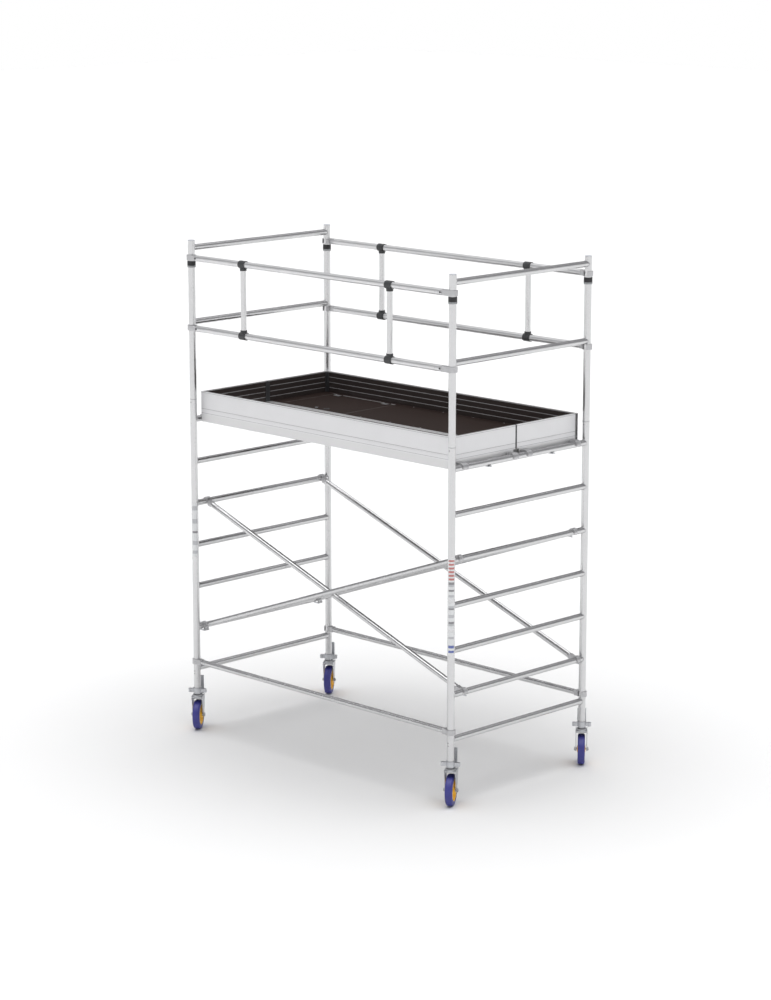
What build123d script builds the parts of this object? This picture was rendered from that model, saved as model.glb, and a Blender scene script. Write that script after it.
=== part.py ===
"""Double-width rolling work tower: ladder frames, guardrails, braces, platforms and castors.

Millimetres, +Z up. The origin is on the floor under the middle of the tower. X runs along the
tower, and -Y is its front.
"""

import os
from math import atan2, cos, degrees, hypot, radians, sin

from build123d import *

# Tower
tower_length = 2500.0  # between upright axes, along X
tower_width = 1300.0  # between upright axes, along Y
rung_pitch = 300.0
rung_count = 7
end_stub = 145.0  # upright beyond its first and last rung
tube_play = 0.3  # gap where a curved face sits on another

# Tubes
upright_d = 48.3
upright_wall = 3.2
rung_d = 42.0
rung_wall = 2.5
rail_d = 42.4
rail_wall = 2.5
post_d = 38.0
brace_d = 38.0
brace_wall = 2.0

# Guard frames and guardrails
guard_mid_rise = 544.0  # guard rungs above the joint between the frames
guard_top_rise = 1062.0
guard_height = 1112.0
rail_top_rise = 995.0  # rails above the joint between the frames
rail_mid_rise = 505.0
rail_outset = 15.0  # rails stand this far outside the uprights' plane
rail_end_gap = 70.0  # from the upright's axis to the rail's end
post_spacing = 1404.0
coupler_d = 54.0
coupler_length = 58.0
coupler_socket = 14.0
claw_wall = 9.0
claw_height = 36.0
claw_mouth = 34.0
pin_d = 13.0
pin_proud = 2.5
collar_wall = 4.85
collar_height = 45.0
collar_gap = 6.0  # below the guardrail's claw
cap_proud = 3.0

# Joint between lower and guard frames
spigot_clearance = 0.25
spigot_reach = 120.0
spigot_wall = 3.0
rivet_d = 8.0
rivet_drop = 20.0

# Braces
low_brace_rise = 50.0  # horizontal brace above the first rung
brace_end_gap = 58.0
diagonal_low_rung = 1
diagonal_high_rung = 4
diagonal_outer_inset = 66.0
diagonal_inner_inset = 116.0
hook_width = 34.0
hook_wall = 8.0
hook_reach = 62.0  # rung axis to the start of the brace tube
low_claw_height = 36.0
latch_thickness = 4.0
latch_gap = 0.5
latch_tip_x = -9.0  # beyond the rung's axis
latch_depth = 9.0
latch_pivot_x = 33.0
latch_pivot_z = -24.0
latch_pivot_d = 6.0
running_clearance = 0.06

# Platforms and toe boards
platform_inset = 39.0  # upright axis to the outside of the toe boards
platform_split = 6.0
deck_rise = 53.0  # deck above the top rung's axis
deck_thickness = 12.0
beam_drop = 13.0  # beams' undersides below the top rung's axis
beam_width = 25.0
beam_wall = 2.0
panel_gap = 1.0
cross_member_count = 5
cross_member_width = 40.0
cross_member_depth = 35.0
toe_board_height = 159.0
toe_board_thickness = 22.0
toe_groove = 3.0
toe_groove_depth = 1.2
toe_split = 15.0
toe_post = 20.0
toe_cap = 4.0
toe_lip = 2.5
hook_plate_width = 46.0
hook_plate_wall = 9.0
hook_plate_arm = 22.0
hook_lip = 6.0
hook_spacing = 480.0
wind_lock_width = 30.0
wind_lock_thickness = 6.0
wind_lock_length = 115.0
wind_lock_grip = 5.0

# Trapdoor in the rear platform
hatch_length = 610.0
hatch_width = 500.0
hatch_end_inset = 116.0  # end beam to the trapdoor
hatch_play = 2.5
hatch_frame_width = 12.0
ledge_length = 40.0
ledge_reach = 16.0
ledge_depth = 8.0
hinge_offset = 4.0  # hinge axis back from the opening's edge, and down from the deck
hinge_spacing = 484.0
hinge_length = 60.0
hinge_pin_d = 6.0
hinge_knuckle_d = 13.0
catch_inset = 36.0
catch_stem_d = 10.0
catch_length = 44.0
catch_width = 24.0
catch_thickness = 6.0

# Castors and adjustable legs
castor_headings = {  # degrees from +Y towards -X, the way each brake pedal points
    "front_left": 37.0,
    "front_right": 33.0,
    "rear_left": 36.0,
    "rear_right": 41.0,
}
wheel_d = 212.0
tyre_width = 50.0
tyre_round = 14.0
rim_d = 150.0
rim_flange = 8.0
rim_width = 48.0
rim_web = 40.0
hub_d = 46.0
hub_width = 57.0
axle_d = 16.0
axle_head_d = 26.0
axle_head = 8.0
castor_trail = 20.0
fork_gap = 70.0
fork_plate = 4.5
crown_clearance = 30.0
crown_length = 88.0
crown_shift = 4.0
crown_plate = 6.0
head_d = 74.0
head_height = 4.0
kingpin_d = 20.0
kingpin_head_d = 32.0
kingpin_head = 5.0
spindle_d = 36.0
spindle_flange = 7.0
spindle_length = 440.0
leg_travel = 200.0
nut_height = 38.0
nut_wall = 5.85
nut_stand_off = 12.7  # swivel flange to nut
wing_span = 124.0
wing_width = 20.0
wing_height = 26.0
thread_play = 0.3
pedal_pivot_x = 58.0
pedal_pivot_drop = 6.0  # below the underside of the fork's crown
pedal_pin_d = 8.0
pedal_hub_d = 17.0
pedal_width = 96.0
pedal_pad_x = 84.0
pedal_reach = 124.0
pedal_corner = 20.0
release_pad_width = 60.0
release_pad_height = 142.0
pedal_plate = 6.0
pedal_arm = 44.0
pedal_drop = -14.0
foot_pad_rise = 18.0  # foot pad's inner edge above the arm's underside
shoe_reach = 27.2
shoe_width = 12.0

# Values that follow from the ones above
half_length = tower_length / 2
half_width = tower_width / 2
upright_r = upright_d / 2
upright_bore_r = upright_r - upright_wall
rung_r = rung_d / 2
crown_z = wheel_d + crown_clearance
head_z = crown_z + crown_plate
flange_z = head_z + head_height
nut_z = flange_z + spindle_flange + nut_stand_off
upright_bottom = nut_z + nut_height + tube_play
first_rung_z = upright_bottom + end_stub
platform_half_length = half_length - platform_inset
platform_half_width = half_width - platform_inset
top_rung_z = first_rung_z + rung_pitch * (rung_count - 1)
deck_top_z = top_rung_z + deck_rise
beam_top_z = deck_top_z - deck_thickness
beam_bottom_z = top_rung_z - beam_drop
toe_top_z = beam_top_z + toe_board_height
joint_z = top_rung_z + end_stub
rail_top_z = joint_z + rail_top_rise
rail_mid_z = joint_z + rail_mid_rise
collar_r = upright_r + collar_wall
rung_heights = [first_rung_z + rung_pitch * k for k in range(rung_count)]
wheel_r = wheel_d / 2

corners = {
    "front_left": (-half_length, -half_width),
    "front_right": (half_length, -half_width),
    "rear_left": (-half_length, half_width),
    "rear_right": (half_length, half_width),
}
corner_points = list(corners.values())


def save(builder, label):
    """Name a finished piece and write it."""
    builder.part.label = label
    export_step(builder.part, f"parts/{label}.step")


def upright_tubes(bottom, height):
    """Four tubes on the corner axes, with a small chamfer at both ends of each."""
    with BuildPart() as tubes:
        with BuildSketch(Plane.XY.offset(bottom)):
            with Locations(*corner_points):
                Circle(upright_r)
                Circle(upright_bore_r, mode=Mode.SUBTRACT)
        extrude(amount=height)
        rims = tubes.edges().filter_by(GeomType.CIRCLE)
        outer_rims = rims.filter_by(lambda rim: abs(rim.radius - upright_r) < 0.01)
        chamfer(outer_rims, length=upright_wall / 4)
    return tubes


def cross_rungs(heights, sides=(-1, 1)):
    """Tubes from upright to upright, coped to the uprights' faces."""
    with BuildPart() as rungs:
        with BuildSketch(Plane.XZ.offset(half_width)):
            with Locations(*[(side * half_length, z) for side in sides for z in heights]):
                Circle(rung_r)
                Circle(rung_r - rung_wall, mode=Mode.SUBTRACT)
        extrude(amount=-tower_width)
        with BuildSketch(Plane.XY.offset(min(heights) - rung_d)):
            with Locations(*corner_points):
                Circle(upright_r)
        extrude(amount=max(heights) - min(heights) + 2 * rung_d, mode=Mode.SUBTRACT)
    return rungs


def make_frames():
    """Ladder frames below, guard frames above, and what joins them."""
    lower = upright_tubes(upright_bottom, joint_z - upright_bottom)
    with BuildPart() as uprights:
        add(lower.part)
        with BuildSketch(Plane.XZ.offset(half_width + upright_d)):
            with Locations((-half_length, joint_z - rivet_drop), (half_length, joint_z - rivet_drop)):
                Circle(rivet_d / 2)
        extrude(amount=-(tower_width + 2 * upright_d), mode=Mode.SUBTRACT)
    save(uprights, "uprights")
    save(cross_rungs(rung_heights), "rungs")
    save(upright_tubes(joint_z, guard_height), "guard_uprights")
    save(cross_rungs([joint_z + guard_mid_rise, joint_z + guard_top_rise]), "guard_rungs")

    spigot_r = upright_bore_r - spigot_clearance
    with BuildPart() as spigots:
        with BuildSketch(Plane.XY.offset(joint_z - spigot_reach)):
            with Locations(*corner_points):
                Circle(spigot_r)
                Circle(spigot_r - spigot_wall, mode=Mode.SUBTRACT)
        extrude(amount=2 * spigot_reach)
        with BuildSketch(Plane.XZ.offset(half_width + upright_d)):
            with Locations((-half_length, joint_z - rivet_drop), (half_length, joint_z - rivet_drop)):
                Circle(rivet_d / 2)
        extrude(amount=-(tower_width + 2 * upright_d), mode=Mode.SUBTRACT)
    save(spigots, "spigots")

    rivet_length = upright_d + 1.0
    with BuildPart() as rivets:
        for x, y in corner_points:
            with BuildSketch(Plane.XZ.offset(-y + rivet_length / 2)):
                with Locations((x, joint_z - rivet_drop)):
                    Circle(rivet_d / 2 - running_clearance)
            extrude(amount=-rivet_length)
    save(rivets, "spigot_rivets")

    top_z = joint_z + guard_height
    with BuildPart() as caps:
        for reach, radius in ((-20.0, upright_bore_r - spigot_clearance), (cap_proud, upright_r)):
            with BuildSketch(Plane.XY.offset(top_z)):
                with Locations(*corner_points):
                    Circle(radius)
            extrude(amount=reach)
        fillet(caps.edges().filter_by(GeomType.CIRCLE).group_by(Axis.Z)[-1], radius=cap_proud * 0.8)
    save(caps, "tube_caps")

    collar_top = rail_top_z - claw_height / 2 - collar_gap
    with BuildPart() as collars:
        with BuildSketch(Plane.XY.offset(collar_top - collar_height)):
            with Locations(*corner_points):
                Circle(collar_r)
                Circle(upright_r + running_clearance, mode=Mode.SUBTRACT)
        extrude(amount=collar_height)
        ends = collars.edges().filter_by(GeomType.CIRCLE)
        fillet(ends.filter_by(lambda rim: rim.radius > collar_r - 0.01), radius=1.5)
    save(collars, "stop_collars")


def snap_claw(plane, wall, mouth, neck_from, neck_depth, inward):
    """One claw in plan: a C round an upright at the plane's origin, with a neck to its tube.

    The neck runs towards local +X, with its middle neck_depth off the upright's axis along local Y,
    and the mouth opens towards local Y, in the sense of inward.
    """
    bore = upright_r + tube_play
    with BuildSketch(plane, mode=Mode.PRIVATE) as claw:
        Circle(bore + wall)
        with Locations((neck_from / 2, neck_depth)):
            Rectangle(neck_from, rail_d - 4.0)
        Circle(bore, mode=Mode.SUBTRACT)
        with Locations((0, inward * (bore + wall))):
            Rectangle(mouth, 2 * (bore + wall), mode=Mode.SUBTRACT)
    return claw.sketch


def make_guardrails():
    """Front and rear guardrail frames, with their posts, couplers and pins."""
    rail_half = half_length - rail_end_gap
    rail_y = half_width + rail_outset
    with BuildPart() as rails:
        for z in (rail_top_z, rail_mid_z):
            with BuildSketch(Plane.YZ.offset(-rail_half)):
                with Locations((-rail_y, z), (rail_y, z)):
                    Circle(rail_d / 2)
                    Circle(rail_d / 2 - rail_wall, mode=Mode.SUBTRACT)
            extrude(amount=2 * rail_half)
    save(rails, "guardrails")

    post_points = [(sx * post_spacing / 2, sy * rail_y) for sx in (-1, 1) for sy in (-1, 1)]
    post_from = rail_mid_z + coupler_d / 2
    post_to = rail_top_z - coupler_d / 2
    with BuildPart() as posts:
        with BuildSketch(Plane.XY.offset(post_from)):
            with Locations(*post_points):
                Circle(post_d / 2)
                Circle(post_d / 2 - brace_wall, mode=Mode.SUBTRACT)
        extrude(amount=post_to - post_from)
    save(posts, "guardrail_posts")

    with BuildPart() as couplers:
        for x, y in post_points:
            for z, way in ((rail_mid_z, 1), (rail_top_z, -1)):
                with BuildSketch(Plane.YZ.offset(x - coupler_length / 2)):
                    with Locations((y, z)):
                        Circle(coupler_d / 2)
                extrude(amount=coupler_length)
                with BuildSketch(Plane.XY.offset(z)):
                    with Locations((x, y)):
                        Circle(post_d / 2 + 4.0)
                extrude(amount=way * (coupler_d / 2 + coupler_socket))
                with BuildSketch(Plane.XY.offset(z + way * coupler_d / 2)):
                    with Locations((x, y)):
                        Circle(post_d / 2 + running_clearance)
                extrude(amount=way * (coupler_socket + 1.0), mode=Mode.SUBTRACT)
                with BuildSketch(Plane.YZ.offset(x - coupler_length)):
                    with Locations((y, z)):
                        Circle(rail_d / 2 + running_clearance)
                extrude(amount=2 * coupler_length, mode=Mode.SUBTRACT)
    save(couplers, "guardrail_couplers")

    pin_x = half_length - rail_end_gap - pin_d / 2 - 2.0
    with BuildPart() as pins:
        for side in (-1, 1):
            with BuildSketch(Plane.XZ.offset(-side * rail_y)):
                with Locations(*[(sx * pin_x, z) for sx in (-1, 1) for z in (rail_top_z, rail_mid_z)]):
                    Circle(pin_d / 2)
            extrude(amount=-side * (rail_d / 2 + pin_proud))
            with BuildSketch(Plane.YZ.offset(-half_length)):
                with Locations((side * rail_y, rail_top_z), (side * rail_y, rail_mid_z)):
                    Circle(rail_d / 2 + running_clearance)
            extrude(amount=tower_length, mode=Mode.SUBTRACT)
    save(pins, "guardrail_pins")


def make_low_braces():
    """Horizontal braces just above the first rungs."""
    z = first_rung_z + low_brace_rise
    brace_half = half_length - brace_end_gap
    with BuildPart() as braces:
        with BuildSketch(Plane.YZ.offset(-brace_half)):
            with Locations((-half_width, z), (half_width, z)):
                Circle(brace_d / 2)
                Circle(brace_d / 2 - brace_wall, mode=Mode.SUBTRACT)
        extrude(amount=2 * brace_half)
    save(braces, "low_braces")


def make_snap_claws():
    """Castings at the ends of the guardrails and low braces that snap round the uprights."""
    rail_y = half_width + rail_outset
    low_z = first_rung_z + low_brace_rise
    with BuildPart() as claws:
        for x, y in corner_points:
            inward_x = -x / abs(x)
            side = y / abs(y)
            for z, height, wall, end_gap, outset in (
                (rail_top_z, claw_height, claw_wall, rail_end_gap, rail_outset),
                (rail_mid_z, claw_height, claw_wall, rail_end_gap, rail_outset),
                (low_z, low_claw_height, hook_wall, brace_end_gap, 0.0),
            ):
                plane = Plane(
                    origin=(x, y, z - height / 2), x_dir=(inward_x, 0, 0), z_dir=(0, 0, 1)
                )
                # Local Y points along row Y where local X does along row X, and against it elsewhere.
                outline = snap_claw(
                    plane, wall, claw_mouth, end_gap - 0.5, side * inward_x * outset,
                    -side * inward_x,
                )
                extrude(outline, amount=height)
            for z in (rail_top_z, rail_mid_z):
                with BuildSketch(Plane.YZ.offset(x + inward_x * (rail_end_gap - 1.0))):
                    with Locations((side * rail_y, z)):
                        Circle(rail_d / 2 - rail_wall - running_clearance)
                extrude(amount=inward_x * 40.0)
    save(claws, "snap_claws")


def brace_ends():
    """Each diagonal brace end: name, rung side, sign of its tube's slope from the hook, Y, outer face."""
    ends = []
    for front, row in ((-1, "front"), (1, "rear")):
        for depth, inset in (("inner", diagonal_inner_inset), ("outer", diagonal_outer_inset)):
            left_is_high = (front < 0) == (depth == "inner")
            for side, end in ((-1, "left"), (1, "right")):
                is_high = left_is_high == (side < 0)
                face = front if depth == "outer" else -front
                name = f"{row}_{depth}_{end}_latch"
                ends.append((name, side, -1 if is_high else 1, front * (half_width - inset), face))
    return ends


def hook_place(side, slope, y):
    """Plane through a brace hook's middle: local X points inward along the tower, local Y up."""
    rung = diagonal_high_rung if slope < 0 else diagonal_low_rung
    origin = (side * half_length, y, rung_heights[rung])
    return Plane(origin=origin, x_dir=(-side, 0, 0), z_dir=(0, side, 0))


def make_diagonals():
    """Four crossing diagonal braces, hooked over the rungs, with a sprung latch under each hook."""
    rise = rung_heights[diagonal_high_rung] - rung_heights[diagonal_low_rung]
    angle = degrees(atan2(rise, tower_length))
    tube_length = hypot(rise, tower_length) - 2 * hook_reach
    hook_r = rung_r + tube_play
    latch_r = latch_pivot_d / 2 + 5.0

    with BuildPart() as tubes:
        for name, side, slope, y, face in brace_ends():
            if side < 0:
                start = hook_place(side, slope, y)
                along = (cos(radians(angle)), 0, slope * sin(radians(angle)))
                with BuildSketch(Plane(origin=start.origin, z_dir=along).offset(hook_reach)):
                    Circle(brace_d / 2)
                    Circle(brace_d / 2 - brace_wall, mode=Mode.SUBTRACT)
                extrude(amount=tube_length)
    save(tubes, "diagonal_braces")

    with BuildPart() as hooks:
        for name, side, slope, y, face in brace_ends():
            place = hook_place(side, slope, y)
            with BuildSketch(place):
                Circle(hook_r + hook_wall)
                with Locations(Location((0, 0), slope * angle)):
                    with Locations(((hook_reach - 0.4) / 2, 0)):
                        Rectangle(hook_reach - 0.4, brace_d - 6.0)
                with Locations((latch_pivot_x, latch_pivot_z)):
                    Circle(latch_r)
                with Locations((latch_pivot_x - 4.0, latch_pivot_z / 2)):
                    Rectangle(18.0, abs(latch_pivot_z))
                Circle(hook_r, mode=Mode.SUBTRACT)
                with Locations((-6.0, -2 * hook_r)):
                    Rectangle(2 * hook_r + 12.0, 4 * hook_r - 8.0, mode=Mode.SUBTRACT)
                with Locations((latch_pivot_x, latch_pivot_z)):
                    Circle(latch_r)
            extrude(amount=hook_width / 2, both=True)
            pivot_face = place.offset(side * face * hook_width / 2)
            with BuildSketch(pivot_face):
                with Locations((latch_pivot_x, latch_pivot_z)):
                    Circle(latch_pivot_d / 2)
            extrude(amount=side * face * (latch_thickness + 2 * latch_gap + 2.0))
            with BuildSketch(pivot_face.offset(side * face * (latch_thickness + 2 * latch_gap))):
                with Locations((latch_pivot_x, latch_pivot_z)):
                    Circle(latch_pivot_d / 2 + 2.0)
            extrude(amount=side * face * 2.0)
    save(hooks, "brace_hooks")

    for name, side, slope, y, face in brace_ends():
        place = hook_place(side, slope, y)
        near = place.offset(side * face * (hook_width / 2 + latch_gap))
        with BuildPart() as latch:
            with BuildSketch(near):
                with Locations((latch_pivot_x, latch_pivot_z)):
                    Circle(latch_r)
                with Locations(((latch_pivot_x + latch_tip_x) / 2, -rung_r - 2.0 - latch_depth / 2)):
                    Rectangle(latch_pivot_x - latch_tip_x, latch_depth)
                with Locations((latch_tip_x, -rung_r - 2.0 - latch_depth / 2)):
                    Circle(latch_depth / 2)
                with Locations((latch_pivot_x, latch_pivot_z)):
                    Circle(latch_pivot_d / 2 + running_clearance, mode=Mode.SUBTRACT)
            extrude(amount=side * face * latch_thickness)
        save(latch, name)


def box_between(low, high):
    """A box from its lowest corner to its highest, in the part being built."""
    with Locations(Vector(*[(low[k] + high[k]) / 2 for k in range(3)])):
        Box(*[high[k] - low[k] for k in range(3)])


def tube_between(low, high, along, wall=beam_wall):
    """A rectangular tube from its lowest corner to its highest, open at both ends of one axis."""
    box_between(low, high)
    inner_low = [low[k] if k == along else low[k] + wall for k in range(3)]
    inner_high = [high[k] if k == along else high[k] - wall for k in range(3)]
    with Locations(Vector(*[(inner_low[k] + inner_high[k]) / 2 for k in range(3)])):
        Box(*[inner_high[k] - inner_low[k] for k in range(3)], mode=Mode.SUBTRACT)


def platform_lanes():
    """Each platform's outer and inner Y, front first."""
    return [(-platform_half_width, -platform_split / 2), (platform_split / 2, platform_half_width)]


def wind_lock_places():
    """Y of the wind lock in the middle of each platform."""
    return [(low_y + high_y) / 2 for low_y, high_y in platform_lanes()]


def wind_lock_top():
    """Top of the wind lock's bar, just under the rung that it locks to."""
    return top_rung_z - rung_r - 1.5


def hinge_axis():
    """Y and Z of the trapdoor's hinge pins."""
    return hatch_box()[1][1] + hinge_offset, deck_top_z - hinge_offset


def hinge_centres():
    """X of the middle of each trapdoor hinge."""
    middle = hatch_box()[0][0] + hatch_length / 2
    return [middle - hinge_spacing / 2, middle + hinge_spacing / 2]


def ledge_places():
    """X, Y and lowest Z of the ledges under the trapdoor's free edge, the catch's in the middle."""
    (low_x, low_y), high = hatch_box()
    xs = [low_x + hatch_length * share for share in (0.1, 0.5, 0.9)]
    return [(x, low_y - 4.0, beam_top_z - tube_play - ledge_depth) for x in xs]


def hatch_box():
    """Low and high corners of the trapdoor's opening, in X and Y."""
    low_x = -platform_half_length + beam_width + hatch_end_inset
    low_y = platform_split / 2 + beam_width + hatch_frame_width
    return (low_x, low_y), (low_x + hatch_length, low_y + hatch_width)


def make_platforms():
    """Beams, cross members, hooks, wind locks, decks and the trapdoor's frame."""
    end = platform_half_length
    with BuildPart() as side_beams:
        for low_y, high_y in platform_lanes():
            for y in (low_y, high_y - beam_width):
                tube_between((-end, y, beam_bottom_z), (end, y + beam_width, beam_top_z), 0)
                if abs(y + beam_width / 2) < platform_half_width / 2:
                    box_between(
                        (-end + beam_width, y, beam_top_z), (end - beam_width, y + beam_width, deck_top_z)
                    )
    save(side_beams, "platform_side_beams")

    lock_y = wind_lock_places()
    with BuildPart() as end_beams:
        for low_y, high_y in platform_lanes():
            for x in (-end, end - beam_width):
                tube_between(
                    (x, low_y + beam_width, beam_bottom_z),
                    (x + beam_width, high_y - beam_width, beam_top_z), 1,
                )
        for y in lock_y:
            guide = wind_lock_width / 2 + tube_play
            slot_low = wind_lock_top() - wind_lock_thickness - tube_play
            box_between(
                (end - beam_width, y - guide - 6.0, slot_low - 3.0),
                (end, y + guide + 6.0, beam_bottom_z),
            )
            with BuildSketch(Plane.XY.offset(slot_low)):
                with Locations((end - beam_width / 2, y)):
                    Rectangle(beam_width, 2 * guide)
            extrude(amount=wind_lock_thickness + 2 * tube_play, mode=Mode.SUBTRACT)
    save(end_beams, "platform_end_beams")

    for name, y in zip(("front_wind_lock", "rear_wind_lock"), lock_y):
        with BuildPart() as lock:
            tip = half_length + rung_r
            bar_low = wind_lock_top() - wind_lock_thickness
            low = (tip - wind_lock_length, y - wind_lock_width / 2, bar_low)
            box_between(low, (tip, y + wind_lock_width / 2, wind_lock_top()))
            grip_low = (low[0], low[1], bar_low - wind_lock_grip)
            box_between(grip_low, (low[0] + 6.0, y + wind_lock_width / 2, bar_low))
        save(lock, name)

    hatch_low, hatch_high = hatch_box()
    free_from = hatch_high[0] + hatch_frame_width
    pitch = 2 * (end - beam_width) / (cross_member_count + 1)
    with BuildPart() as members:
        for low_y, high_y in platform_lanes():
            for k in range(cross_member_count):
                x = -end + beam_width + pitch * (k + 1)
                if high_y > 0 and x - cross_member_width / 2 < free_from:
                    continue
                tube_between(
                    (x - cross_member_width / 2, low_y + beam_width, beam_top_z - cross_member_depth),
                    (x + cross_member_width / 2, high_y - beam_width, beam_top_z), 1,
                )
    save(members, "platform_cross_members")

    front_low, front_high = platform_lanes()[0]
    rear_low, rear_high = platform_lanes()[1]
    with BuildPart() as decks:
        box_between(
            (-end + beam_width, front_low + beam_width, beam_top_z),
            (end - beam_width, front_high - beam_width, deck_top_z),
        )
        box_between(
            (free_from, rear_low + beam_width, beam_top_z),
            (end - beam_width, rear_high - beam_width, deck_top_z),
        )
        box_between(
            (-end + beam_width, rear_low + beam_width, beam_top_z),
            (hatch_low[0] - hatch_frame_width, rear_high - beam_width, deck_top_z),
        )
        box_between(
            (
                hatch_low[0] - hatch_frame_width + panel_gap,
                hatch_high[1] + hatch_frame_width,
                beam_top_z,
            ),
            (free_from - panel_gap, rear_high - beam_width, deck_top_z),
        )
    save(decks, "decks")

    frame_bottom = beam_top_z - cross_member_depth
    frame_low_y = hatch_low[1] - hatch_frame_width
    frame_high_y = hatch_high[1] + hatch_frame_width
    strips = [
        ((hatch_low[0] - hatch_frame_width, frame_low_y), (hatch_low[0], frame_high_y)),
        ((hatch_high[0], frame_low_y), (free_from, frame_high_y)),
        ((hatch_low[0], hatch_high[1]), (hatch_high[0], frame_high_y)),
        ((hatch_low[0], frame_low_y), (hatch_high[0], hatch_low[1])),
    ]
    pin_y, pin_z = hinge_axis()
    pocket_r = hinge_knuckle_d / 2 + 1.0
    with BuildPart() as hatch_frame:
        for low, high in strips:
            box_between((*low, frame_bottom), (*high, deck_top_z))
        for x in hinge_centres():
            with BuildSketch(Plane.YZ.offset(x - hinge_length / 2)):
                with Locations((pin_y, pin_z)):
                    Circle(pocket_r)
                with Locations((pin_y, pin_z + pocket_r)):
                    Rectangle(2 * pocket_r, 2 * pocket_r)
            extrude(amount=hinge_length, mode=Mode.SUBTRACT)
        for x in hinge_centres():
            with BuildSketch(Plane.YZ.offset(x - hinge_length / 2)):
                with Locations((pin_y, pin_z)):
                    Circle(hinge_pin_d / 2)
            extrude(amount=hinge_length)
        for x, y, low_z in ledge_places():
            box_between(
                (x - ledge_length / 2, y, low_z),
                (x + ledge_length / 2, y + ledge_reach, beam_top_z - tube_play),
            )
    save(hatch_frame, "hatch_frame")


def make_trapdoor():
    """The trapdoor with its hinge knuckles, and the catch that turns under the middle ledge."""
    low, high = hatch_box()
    pin_y, pin_z = hinge_axis()
    knuckle = hinge_length - 2 * hatch_play
    catch_x = low[0] + hatch_length / 2
    catch_y = low[1] + catch_inset
    with BuildPart() as trapdoor:
        box_between(
            (low[0] + hatch_play, low[1] + hatch_play, beam_top_z),
            (high[0] - hatch_play, high[1] - hatch_play, deck_top_z),
        )
        for x in hinge_centres():
            with BuildSketch(Plane.YZ.offset(x - knuckle / 2)):
                with Locations((pin_y, pin_z)):
                    Circle(hinge_knuckle_d / 2)
                with Locations((pin_y - hinge_knuckle_d / 2, pin_z)):
                    Rectangle(hinge_knuckle_d, hinge_offset * 2)
            extrude(amount=knuckle)
            with BuildSketch(Plane.YZ.offset(x - knuckle)):
                with Locations((pin_y, pin_z)):
                    Circle(hinge_pin_d / 2 + running_clearance)
            extrude(amount=2 * knuckle, mode=Mode.SUBTRACT)
        with BuildSketch(Plane.XY.offset(beam_top_z)):
            with Locations((catch_x, catch_y)):
                Circle(catch_stem_d / 2 + running_clearance)
        extrude(amount=deck_thickness, mode=Mode.SUBTRACT)
    save(trapdoor, "trapdoor")

    tongue_top = beam_top_z - tube_play - ledge_depth - 1.0
    with BuildPart() as catch:
        box_between(
            (catch_x - catch_width / 2, catch_y - catch_width / 2, tongue_top - catch_thickness),
            (catch_x + catch_length - catch_width / 2, catch_y + catch_width / 2, tongue_top),
        )
        with BuildSketch(Plane.XY.offset(tongue_top)):
            with Locations((catch_x, catch_y)):
                Circle(catch_stem_d / 2)
        extrude(amount=deck_top_z + tube_play - tongue_top)
        with BuildSketch(Plane.XY.offset(deck_top_z + tube_play)):
            with Locations((catch_x, catch_y)):
                Circle(catch_width / 2)
        extrude(amount=2.5)
    save(catch, "trapdoor_catch")


def toe_profile():
    """Section of a toe board: local X across it, outside at +X, local Y up from its bottom edge."""
    wall = 2.5
    middle = toe_board_height / 2
    outer_grooves = (toe_board_height - 9.0, 40.0, 31.0)
    inner_grooves = [toe_board_height * share for share in (0.28, 0.52, 0.76)]
    with BuildSketch(Plane.XY, mode=Mode.PRIVATE) as section:
        with Locations((-toe_board_thickness / 2, middle)):
            Rectangle(toe_board_thickness, toe_board_height)
            Rectangle(
                toe_board_thickness - 2 * wall, toe_board_height - 2 * wall, mode=Mode.SUBTRACT
            )
        with Locations(*[(0, z) for z in outer_grooves]):
            Rectangle(2 * toe_groove_depth, toe_groove, mode=Mode.SUBTRACT)
        with Locations(*[(-toe_board_thickness, z) for z in inner_grooves]):
            Rectangle(2 * toe_groove_depth, toe_groove, mode=Mode.SUBTRACT)
    return section.sketch


def make_toe_boards():
    """Long and end toe boards, with the plastic pieces that join them at corners and middles."""
    end = platform_half_length
    wide = platform_half_width
    section = toe_profile()
    end_from = toe_split / 2
    end_to = wide - toe_board_thickness - toe_cap
    with BuildPart() as boards:
        for side in (-1, 1):
            outside = Plane(
                origin=(-side * end, side * wide, beam_top_z),
                x_dir=(0, side, 0), z_dir=(side, 0, 0),
            )
            with BuildSketch(outside):
                add(section)
            extrude(amount=2 * end)
            for start in (end_from, -end_to):
                origin = (side * end, start if side < 0 else start + end_to - end_from, beam_top_z)
                outside = Plane(origin=origin, x_dir=(side, 0, 0), z_dir=(0, -side, 0))
                with BuildSketch(outside):
                    add(section)
                extrude(amount=end_to - end_from)
    save(boards, "toe_boards")

    inner_x = end - toe_board_thickness
    inner_y = wide - toe_board_thickness
    with BuildPart() as joints:
        for sx in (-1, 1):
            for sy in (-1, 1):
                corner_box(
                    sx, sy, (inner_x, inner_y - toe_cap, beam_top_z), (end, inner_y, toe_top_z)
                )
                corner_box(
                    sx, sy,
                    (inner_x - toe_post, inner_y - toe_lip, deck_top_z),
                    (inner_x, inner_y, toe_top_z - 6.0),
                )
                corner_box(
                    sx, sy,
                    (inner_x - toe_lip, inner_y - toe_post, deck_top_z),
                    (inner_x, inner_y, toe_top_z - 6.0),
                )
            low_x, high_x = sorted((sx * inner_x, sx * end))
            box_between((low_x, -toe_split / 2, beam_top_z), (high_x, toe_split / 2, toe_top_z))
            low_x, high_x = sorted((sx * (inner_x - toe_lip), sx * inner_x))
            box_between((low_x, -toe_post, deck_top_z), (high_x, toe_post, toe_top_z - 6.0))
    save(joints, "toe_board_joints")


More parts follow.
